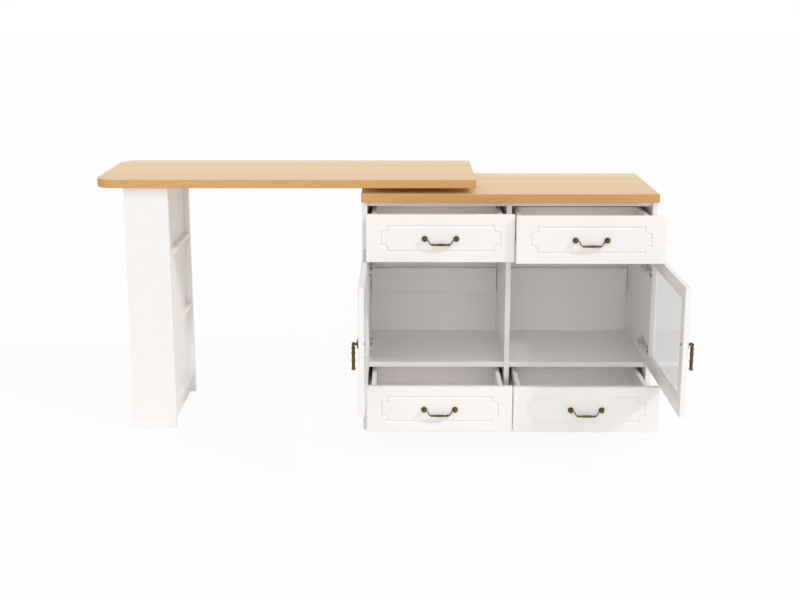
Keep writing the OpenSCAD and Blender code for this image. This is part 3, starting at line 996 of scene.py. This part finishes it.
@dataclass
class SwivelTable:
    """The long table top, its bearing, and the rolling shelf leg.

    Attributes:
        body: The body that the table rides on.
        edge: Radius of the leg boards' eased edges.
        top_edge: Radius of the table top's long edges.
        outer_corner: Radius of the two outer corners in plan.
        inner_corner: Radius of the two corners at the swivel end.
        roller_r: Radius of the rollers.
        roller_w: Width of the rollers.
        roller_sunk: How far the middles of their faces are sunk.
        axle_r: Radius of the bore round the axle.
    """

    body: str = "table"
    edge: float = 0.9 * MM
    top_edge: float = 2.2 * MM
    outer_corner: float = 60 * MM
    inner_corner: float = 3 * MM
    roller_r: float = 28 * MM
    roller_w: float = 20 * MM
    roller_sunk: float = 1.5 * MM
    axle_r: float = 4.08 * MM

    def build(self) -> None:
        """Builds the top, the leg and its rollers, and dresses the bearing."""
        inner, outer = self.inner_corner, self.outer_corner
        radii = (inner, outer, outer, inner)
        make_top("table_top", self.body, radii, self.top_edge, 24)
        panels = ("leg_front_panel", "leg_back_panel", "leg_inner_panels")
        make_boards(self.body, self.edge, *panels, "leg_shelves")
        for node in ("roller_front", "roller_back"):
            self.build_roller(node)
        dress(ZINC, "roller_brackets", "swivel_plate_upper", "swivel_ball_cage")

    def build_roller(self, node: str) -> None:
        """Turns one roller: a tyre round a hub with sunk faces.

        Args:
            node: The roller's node, which is also its body.
        """
        lo, hi = box_of(node)
        half, r = self.roller_w / 2, self.roller_r
        sunk = half - self.roller_sunk
        side = [(self.axle_r, half), (0.36 * r, half), (0.42 * r, sunk)]
        side += [(0.7 * r, sunk), (0.74 * r, half), (r - 3 * MM, half)]
        side += [(r - 0.9 * MM, half - 0.9 * MM), (r, half - 3 * MM)]
        skin = lathe(mirrored(side), (lo + hi) / 2, X, steps=64, endless=True)
        make_piece(node + "_tyre", node, skin, ROLLER, replaces=node)


@dataclass
class Drawer:
    """A drawer: its routed front, its box and its pull.

    Attributes:
        name: The drawer's name, which is also its body.
        front_edge: Radius of the front's outer edges.
        back_edge: Radius of the edges at the back of the front.
        back_gap: Room between a closed front's back and the slides' ends.
        corner: Radius of the front's corners.
        line_end: Distance of the routed line from the ends.
        line_rim: Distance of the routed line from the long edges.
        line_w: Width of the routed line.
        line_deep: Depth of the routed line.
        scoop_r: Radius of the line's scooped corners.
        scoop_step: Length of the shoulder at each end of a scoop.
        box_t: Thickness of the box's boards.
        box_floor: Height and thickness of the box's floor.
        box_edge: Radius of the box's edges.
        pull_span: Distance between the pull's posts.
        pull_off: Distance of the pull's pivot from the front.
        bail_drop: Drop from the pivot to the bar.
        bail_start: Distance of a leg's upper end from the pull's middle.
        bail_pin: Distance of a pin's end from the pull's middle.
        bail_bend: How far from its corners the bail starts to bend.
        bar_half: Half the length of the bar.
        bail_r: Radius of the bail's round wire.
    """

    name: str
    front_edge: float = 3 * MM
    back_edge: float = 0.9 * MM
    back_gap: float = 0.05 * MM
    corner: float = 4 * MM
    line_end: float = 50 * MM
    line_rim: float = 38 * MM
    line_w: float = 9.4 * MM
    line_deep: float = 4.8 * MM
    scoop_r: float = 17 * MM
    scoop_step: float = 5 * MM
    box_t: float = 15 * MM
    box_floor: tuple[float, float] = (8 * MM, 5 * MM)
    box_edge: float = 1.2 * MM
    pull_span: float = 105 * MM
    pull_off: float = 14 * MM
    bail_drop: float = 17.5 * MM
    bail_start: float = 42.5 * MM
    bail_pin: float = 50 * MM
    bail_bend: float = 4 * MM
    bar_half: float = 33 * MM
    bail_r: float = 1.9 * MM

    def build(self) -> None:
        """Builds the front, the box and the pull, and dresses the slides."""
        self.build_front()
        self.build_box()
        self.build_posts()
        self.build_bail()
        dress(SLIDE_STEEL, self.name + "_slide_middle", self.name + "_slide_inner")

    def build_front(self) -> None:
        """Builds the front: a slab with rounded edges and a routed line.

        Nested loops run from the back over the rounded edges to the front
        face, down into the line and up again, and plates close both ends.
        """
        node = self.name + "_front"
        lo, hi = box_of(node)
        mid, (w, _, h) = (lo + hi) / 2, (hi - lo) / 2
        rise, inset = quarter(5)
        back, front = self.back_edge, self.front_edge
        levels = []
        for depth, drawn in zip(back * rise[::2], back * inset[::2]):
            y = hi[1] - self.back_gap - depth
            levels.append((self.plain_loop(w, h, drawn), y))
        for depth, drawn in zip(front * rise[::-1], front * inset[::-1]):
            levels.append((self.plain_loop(w, h, drawn), lo[1] + depth))
        for share, deep in LINE_SHARES:
            loop = self.routed_loop(w, h, share * self.line_w / 2)
            levels.append((loop, lo[1] + deep * self.line_deep))
        loops = []
        for loop, y in levels:
            x, z = mid[0] + loop[:, 0], mid[2] + loop[:, 1]
            loops.append(np.stack([x, np.full(len(loop), y), z], -1))
        skin = loft(np.stack(loops))
        make_piece(node + "_slab", self.name, skin, LACQUER, replaces=node)

    def plain_loop(self, half_w: float, half_h: float, drawn: float) -> Array:
        """Outlines the front with rounded corners, drawn in by a distance.

        Args:
            half_w: Half the front's width.
            half_h: Half its height.
            drawn: How far the outline is drawn in.

        Returns:
            The loop, as many points as routed_loop has.
        """
        w, h = half_w - drawn, half_h - drawn
        radius = self.corner - drawn
        arc = np.stack(
            [w - radius + radius * np.sin(ARC), h - radius + radius * np.cos(ARC)], -1
        )
        x = half_w - self.line_end - self.scoop_step - self.scoop_r
        z = half_h - self.line_rim - self.scoop_step - self.scoop_r
        return whole_loop(
            [(0, h), (x, h), (w - radius, h), *arc, (w, h - radius), (w, z), (w, 0)]
        )

    def routed_loop(self, half_w: float, half_h: float, grow: float) -> Array:
        """Outlines the routed line, grown by a distance.

        The corners are scooped: a quarter circle of radius scoop_r - grow,
        bulging inwards, with a small square shoulder at each of its ends.

        Args:
            half_w: Half the front's width.
            half_h: Half its height.
            grow: How far the outline is grown.

        Returns:
            The loop.
        """
        far_x, far_z = half_w - self.line_end, half_h - self.line_rim
        x, z = far_x - self.scoop_step, far_z - self.scoop_step
        w, h, radius = far_x + grow, far_z + grow, self.scoop_r - grow
        arc = np.stack([x - radius * np.cos(ARC), z - radius * np.sin(ARC)], -1)
        return whole_loop(
            [(0, h), (x - radius, h), (x - radius, z), *arc]
            + [(x, z - radius), (w, z - radius), (w, 0)]
        )

    def build_box(self) -> None:
        """Builds the box: two sides, a back and a floor."""
        node = self.name + "_box"
        lo, hi = box_of(node)
        t, (up, thick) = self.box_t, self.box_floor
        low = lo[2] + up
        bounds = [
            (lo, (lo[0] + t, hi[1], hi[2])),
            ((hi[0] - t, lo[1], lo[2]), hi),
            ((lo[0] + t, hi[1] - t, lo[2]), (hi[0] - t, hi[1], hi[2])),
            (
                (lo[0] + t / 2, lo[1], low),
                (hi[0] - t / 2, hi[1] - t / 2, low + thick),
            ),
        ]
        skin = boards(bounds, self.box_edge)
        make_piece(node + "_boards", self.name, skin, LACQUER, replaces=node)

    def pull_place(self) -> Array:
        """Returns the middle of the pull's pivot line."""
        lo, hi = box_of(self.name + "_front")
        mid = (lo + hi) / 2
        return np.array([mid[0], lo[1] - self.pull_off, mid[2]])

    def build_posts(self) -> None:
        """Turns the two posts: a stepped rosette, a neck and a ball."""
        place, profile = self.pull_place(), MM * np.array(POST_MM)
        posts = [
            lathe(profile, place + side.value * self.pull_span / 2 * X, Y)
            for side in Side
        ]
        node = self.name + "_pull_posts"
        make_piece(node + "_cast", self.name, joined(posts), BRASS, replaces=node)

    def build_bail(self) -> None:
        """Bends the bail's wire and turns the grip on its bar."""
        place, low = self.pull_place(), -self.bail_drop
        half = np.array(
            [[self.bail_pin, 0, 0], [self.bail_start, 0, 0], [self.bar_half, 0, low]]
        )
        corners = np.concatenate([half, half[::-1] * [-1, 1, 1]])
        wire = tube(place + filleted(corners, self.bail_bend), self.bail_r, Y)
        grip = lathe(MM * mirrored(GRIP_MM), place + low * Z, X, steps=24)
        node = self.name + "_bail"
        make_piece(node + "_cast", node, joined([wire, grip]), BRASS, replaces=node)


def whole_loop(quadrant: Sequence[Vec]) -> Array:
    """Mirrors a quarter of a symmetric loop into the whole loop.

    Args:
        quadrant: Points from the top's middle to the right side's middle.

    Returns:
        The loop's points, clockwise from the top's middle.
    """
    upper = np.asarray(quadrant, float)
    right = np.concatenate([upper, (upper * [1, -1])[-2::-1]])
    return np.concatenate([right, (right * [-1, 1])[-2:0:-1]])


@dataclass
class Door:
    """A glazed door: its frame, pane, hinge parts and hanging pull.

    Attributes:
        name: The door's name, which is also its body.
        side: The bay that it closes.
        stile: Width of the frame members.
        thick: Thickness of the frame members.
        front_edge: Radius of their outer edges in front.
        back_edge: Width of the eased edges behind.
        lip: How far the lip reaches past the frame members, and its thickness.
        pane: Thickness of the pane.
        bead: Width and height of the bead behind the pane.
        cup_in: Distance of the hinge cups from the hinge edge.
        cup_heights: Heights of the hinge cups.
        cup_r: Radius of the cups' holes.
        cup_deep: Depth of the cups' holes.
        pull_in: Distance of the pull from the free edge.
        pull_z: Height of the pull's pivot.
        pull_off: Distance of the pull's pivot from the door.
        drop_l: Length of the drop below its pivot.
        eye_r: Radius of the drop's eye.
        eye_half: Half the thickness of the eye.
        eye_edge: Width of the eye's eased edges.
        cheek_r: Radius of the fork's cheeks.
        cheek_t: Thickness of the fork's cheeks.
        web_half: Half the width and height of a cheek's web.
        web_in: Distance of the webs' middles behind the pivot.
        screw_r: Radius of the screw's head on the inner face.
        gap: Gap between the eye and each cheek.
    """

    name: str
    side: Side
    stile: float = 42 * MM
    thick: float = 18 * MM
    front_edge: float = 2.5 * MM
    back_edge: float = 0.9 * MM
    lip: tuple[float, float] = (8 * MM, 4 * MM)
    pane: float = 4 * MM
    bead: tuple[float, float] = (9 * MM, 9 * MM)
    cup_in: float = 22.5 * MM
    cup_heights: tuple[float, float] = (318 * MM, 600 * MM)
    cup_r: float = 17.6 * MM
    cup_deep: float = 11.5 * MM
    pull_in: float = 21 * MM
    pull_z: float = 490 * MM
    pull_off: float = 16 * MM
    drop_l: float = 85 * MM
    eye_r: float = 4.5 * MM
    eye_half: float = 2.6 * MM
    eye_edge: float = 0.6 * MM
    cheek_r: float = 5 * MM
    cheek_t: float = 2.5 * MM
    web_half: tuple[float, float] = (2.6 * MM, 3.2 * MM)
    web_in: float = 4.4 * MM
    screw_r: float = 4 * MM
    gap: float = 0.3 * MM

    def build(self) -> None:
        """Builds the frame and the pull, and dresses the pane and hinges."""
        self.build_frame()
        self.build_bead()
        self.build_post()
        self.build_drop()
        dress(GLASS, self.name + "_glass")
        dress(ZINC, self.name + "_hinge_cups", self.name + "_hinge_links")

    def build_frame(self) -> None:
        """Builds the frame of its profile, and cuts the hinge cups' holes."""
        node = self.name + "_frame"
        lo, hi = box_of(node)
        sign = self.side.value
        inner_x = lo[0] if sign > 0 else hi[0]
        stile, thick, (reach, lip_t) = self.stile, self.thick, self.lip
        rise, inset = quarter(4)
        r, e = self.front_edge, self.back_edge
        rim, near = stile + reach, EASED * e
        profile = [(e, thick), (near, thick - near), (0, thick - e)]
        profile += list(np.stack([r * rise, r * inset], -1))
        profile += [(rim - back * MM, deep * MM) for back, deep in RIM_MM]
        profile += [(rim, lip_t), (stile, lip_t), (stile, thick - e)]
        profile += [(stile - near, thick - near), (stile - e, thick)]
        hole = ((self.cup_r, -self.cup_deep), (self.cup_r, 2 * MM))
        cups = [
            lathe(hole, (inner_x, hi[1] - self.cup_in, z), -sign * X, steps=64)
            for z in self.cup_heights
        ]
        skin = self.carried(np.array(profile))
        cut = joined(cups)
        make_piece(node + "_wood", self.name, skin, LACQUER, replaces=node, cut=cut)

    def carried(self, profile: Array) -> Skin:
        """Carries a profile round the door's rectangle, with mitred corners.

        A profile point (u, v) becomes the rectangle drawn in by u from the
        door's edge, at the depth v behind its front face.

        Args:
            profile: Points u and v of the closed profile.

        Returns:
            The closed skin.
        """
        lo, hi = box_of(self.name + "_frame")
        u, v = profile.T
        x = self.front_x() - self.side.value * v
        near, far, low, high = lo[1] + u, hi[1] - u, lo[2] + u, hi[2] - u
        corners = ((near, low), (far, low), (far, high), (near, high))
        loops = np.stack([np.stack([x, y, z], -1) for y, z in corners], 1)
        return loft(loops, endless=True)

    def front_x(self) -> float:
        """Returns the x of the door's front face."""
        lo, hi = box_of(self.name + "_frame")
        return hi[0] if self.side.value > 0 else lo[0]

    def build_bead(self) -> None:
        """Builds the rounded bead that holds the pane from behind."""
        wide, tall = self.bead
        back = self.lip[1] + self.pane
        turn = np.linspace(0, math.pi / 2, 6)
        swell = np.stack(
            [self.stile + wide * np.sin(turn), back + tall * np.cos(turn)], -1
        )
        skin = self.carried(np.concatenate([[[self.stile, back]], swell]))
        make_piece(self.name + "_glazing_bead", self.name, skin, LACQUER)

    def pull_place(self) -> tuple[Array, Array]:
        """Returns the pull's pivot, and the direction that the door faces."""
        lo, _ = box_of(self.name + "_frame")
        sign = self.side.value
        x = self.front_x() + sign * self.pull_off
        return np.array([x, lo[1] + self.pull_in, self.pull_z]), sign * X

    def build_post(self) -> None:
        """Turns the domed rosette and its stem, and the fork's two cheeks."""
        place, facing = self.pull_place()
        parts = [lathe(MM * np.array(STEM_MM), place, facing)]
        near = self.eye_half + self.gap
        r, t = self.cheek_r, self.cheek_t
        cheek = [(r - 0.5 * MM, near), (r, near + 0.5 * MM), (r, near + t - 0.9 * MM)]
        cheek += [(r - 0.9 * MM, near + t), (0.3 * MM, near + t)]
        parts += [lathe(cheek, place, side.value * Y, steps=32) for side in Side]
        half = np.array([self.web_half[0], t / 2 - 0.1 * MM, self.web_half[1]])
        for way in (-1, 1):
            mid = place - facing * self.web_in + way * (near + t / 2) * Y
            parts.append(rounded_box(mid - half, mid + half, 0.8 * MM))
        node = self.name + "_pull_post"
        make_piece(node + "_cast", self.name, joined(parts), BRASS, replaces=node)
        seat = place - facing * (self.pull_off + self.thick)
        screw = screw_head(seat, -facing, self.screw_r)
        make_piece(self.name + "_pull_screw", self.name, screw, BRASS)

    def build_drop(self) -> None:
        """Turns the drop: an eye on the pivot and a jointed, flared cane."""
        place, _ = self.pull_place()
        cane = np.array(DROP_SHARES) * (MM, self.drop_l)
        r, half, edge = self.eye_r, self.eye_half, self.eye_edge
        eye = mirrored([(r - edge, -half), (r, -half + edge)])
        parts = [lathe(cane, place, -Z, steps=32), lathe(eye, place, Y, steps=32)]
        node, body = self.name + "_pull_drop", self.name + "_drop"
        make_piece(node + "_cast", body, joined(parts), BRASS, replaces=node)


# ---- Studio ----


@dataclass(frozen=True)
class Lamp:
    """A far lamp.

    Attributes:
        name: Its name.
        strength: Irradiance on a surface that faces it.
        soft: Angle that it fills, in degrees.
        way: Direction that its light travels.
    """

    name: str
    strength: float
    soft: float
    way: tuple[float, float, float]


@dataclass
class Studio:
    """A white studio: a floor, two lamps, an even sky and the camera.

    Attributes:
        key: The lamp that draws the soft shadows.
        fill: The wide soft lamp in front that reaches into the cupboards.
        sky: Brightness of the sky for the light that it gives.
        floor_half: Half the side of the floor.
        floor_white: Share of light that the floor sends back.
        floor_fade: How much of the floor is plain white to the camera.
        camera_at: Place of the camera.
        pitch: How far the camera looks down, in degrees.
        yaw: How far it looks to the left, in degrees.
        lens: Focal length for a sensor of the width below, in mm.
        sensor: Width of the sensor, in mm.
        shift: Shift of the lens, as shares of the frame's width.
    """

    key: Lamp = Lamp("key", 1.0, 6.0, (-1.7, 1.0, -1.7))
    fill: Lamp = Lamp("fill", 0.8, 60.0, (0.0, 1.0, -0.5))
    sky: float = 0.53
    floor_half: float = 30.0
    floor_white: float = 0.93
    floor_fade: float = 0.92
    camera_at: tuple[float, float, float] = (-0.368, -3.949, 1.591)
    pitch: float = 11.12
    yaw: float = 0.25
    lens: float = 49.24
    sensor: float = 36.0
    shift: tuple[float, float] = (0.0, -0.126)

    def build(self) -> None:
        """Builds the floor, the lamps, the sky and the camera."""
        bpy.context.scene.view_settings.view_transform = "Standard"
        self.build_floor()
        self.build_light()
        self.build_camera()

    def seen(self, canvas: Canvas) -> Socket:
        """Returns 1 for a camera, mirror or glass ray, and 0 for the rest."""
        path = add_node(canvas.tree, "LightPath").outputs
        one = canvas.math("MAXIMUM", path["Is Camera Ray"], path["Is Glossy Ray"])
        return canvas.math("MAXIMUM", one, path["Is Transmission Ray"])

    def build_floor(self) -> None:
        """Lays the floor, whose white fades its shadows for the camera."""
        half = self.floor_half
        mesh = bpy.data.meshes.new("floor")
        ways = ((-1, -1), (1, -1), (1, 1), (-1, 1))
        corners = [(half * x, half * y, 0) for x, y in ways]
        mesh.from_pydata(corners, [], [(0, 1, 2, 3)])
        placed("floor", mesh)
        material = bpy.data.materials.new("white studio floor")
        material.use_nodes = True
        tree = material.node_tree
        tree.nodes.remove(tree.nodes["Principled BSDF"])
        canvas = Canvas(tree)
        amount = canvas.math("MULTIPLY", self.seen(canvas), self.floor_fade)
        matt = canvas.add("BsdfDiffuse", 0, {"Color": (*[self.floor_white] * 3, 1)})
        white = canvas.add("Emission", 0, {"Color": WHITE, "Strength": 1.0})
        mixed = canvas.add("MixShader", 0, {0: amount, 1: matt, 2: white})
        feed(tree, tree.nodes["Material Output"], {"Surface": mixed})
        mesh.materials.append(material)

    def build_light(self) -> None:
        """Hangs the lamps and sets the sky."""
        for lamp in (self.key, self.fill):
            light = bpy.data.lights.new(lamp.name, "SUN")
            light.energy, light.angle = lamp.strength, math.radians(lamp.soft)
            hung = placed(lamp.name, light)
            hung.rotation_mode = "QUATERNION"
            hung.rotation_quaternion = Vector(lamp.way).to_track_quat("-Z", "Y")
        world = bpy.data.worlds.new("studio sky")
        bpy.context.scene.world = world
        world.use_nodes = True
        canvas = Canvas(world.node_tree)
        level = canvas.spread(self.seen(canvas), self.sky, 1.0)
        sky = {"Color": WHITE, "Strength": level}
        feed(canvas.tree, canvas.tree.nodes["Background"], sky)

    def build_camera(self) -> None:
        """Stands the camera where the photograph was taken from."""
        lens = bpy.data.cameras.new("camera")
        lens.lens, lens.sensor_width = self.lens, self.sensor
        lens.shift_x, lens.shift_y = self.shift
        camera = placed("camera", lens)
        camera.location = self.camera_at
        turn = (90 - self.pitch, 0, self.yaw)
        camera.rotation_euler = [math.radians(angle) for angle in turn]
        bpy.context.scene.camera = camera


def main() -> None:
    """Builds every sub-assembly and the studio."""
    logging.basicConfig(level=logging.INFO, format="%(message)s")
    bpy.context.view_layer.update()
    parts: list[Cabinet | SwivelTable | Drawer | Door | Studio] = [
        Cabinet(),
        SwivelTable(),
        *(
            Drawer(f"drawer_{height}_{side}")
            for height in ("top", "bottom")
            for side in ("left", "right")
        ),
        Door("door_left", Side.LEFT),
        Door("door_right", Side.RIGHT),
        Studio(),
    ]
    for part in parts:
        part.build()
        LOG.info("%s is built", getattr(part, "name", type(part).__name__))


if __name__ == "__main__":
    main()
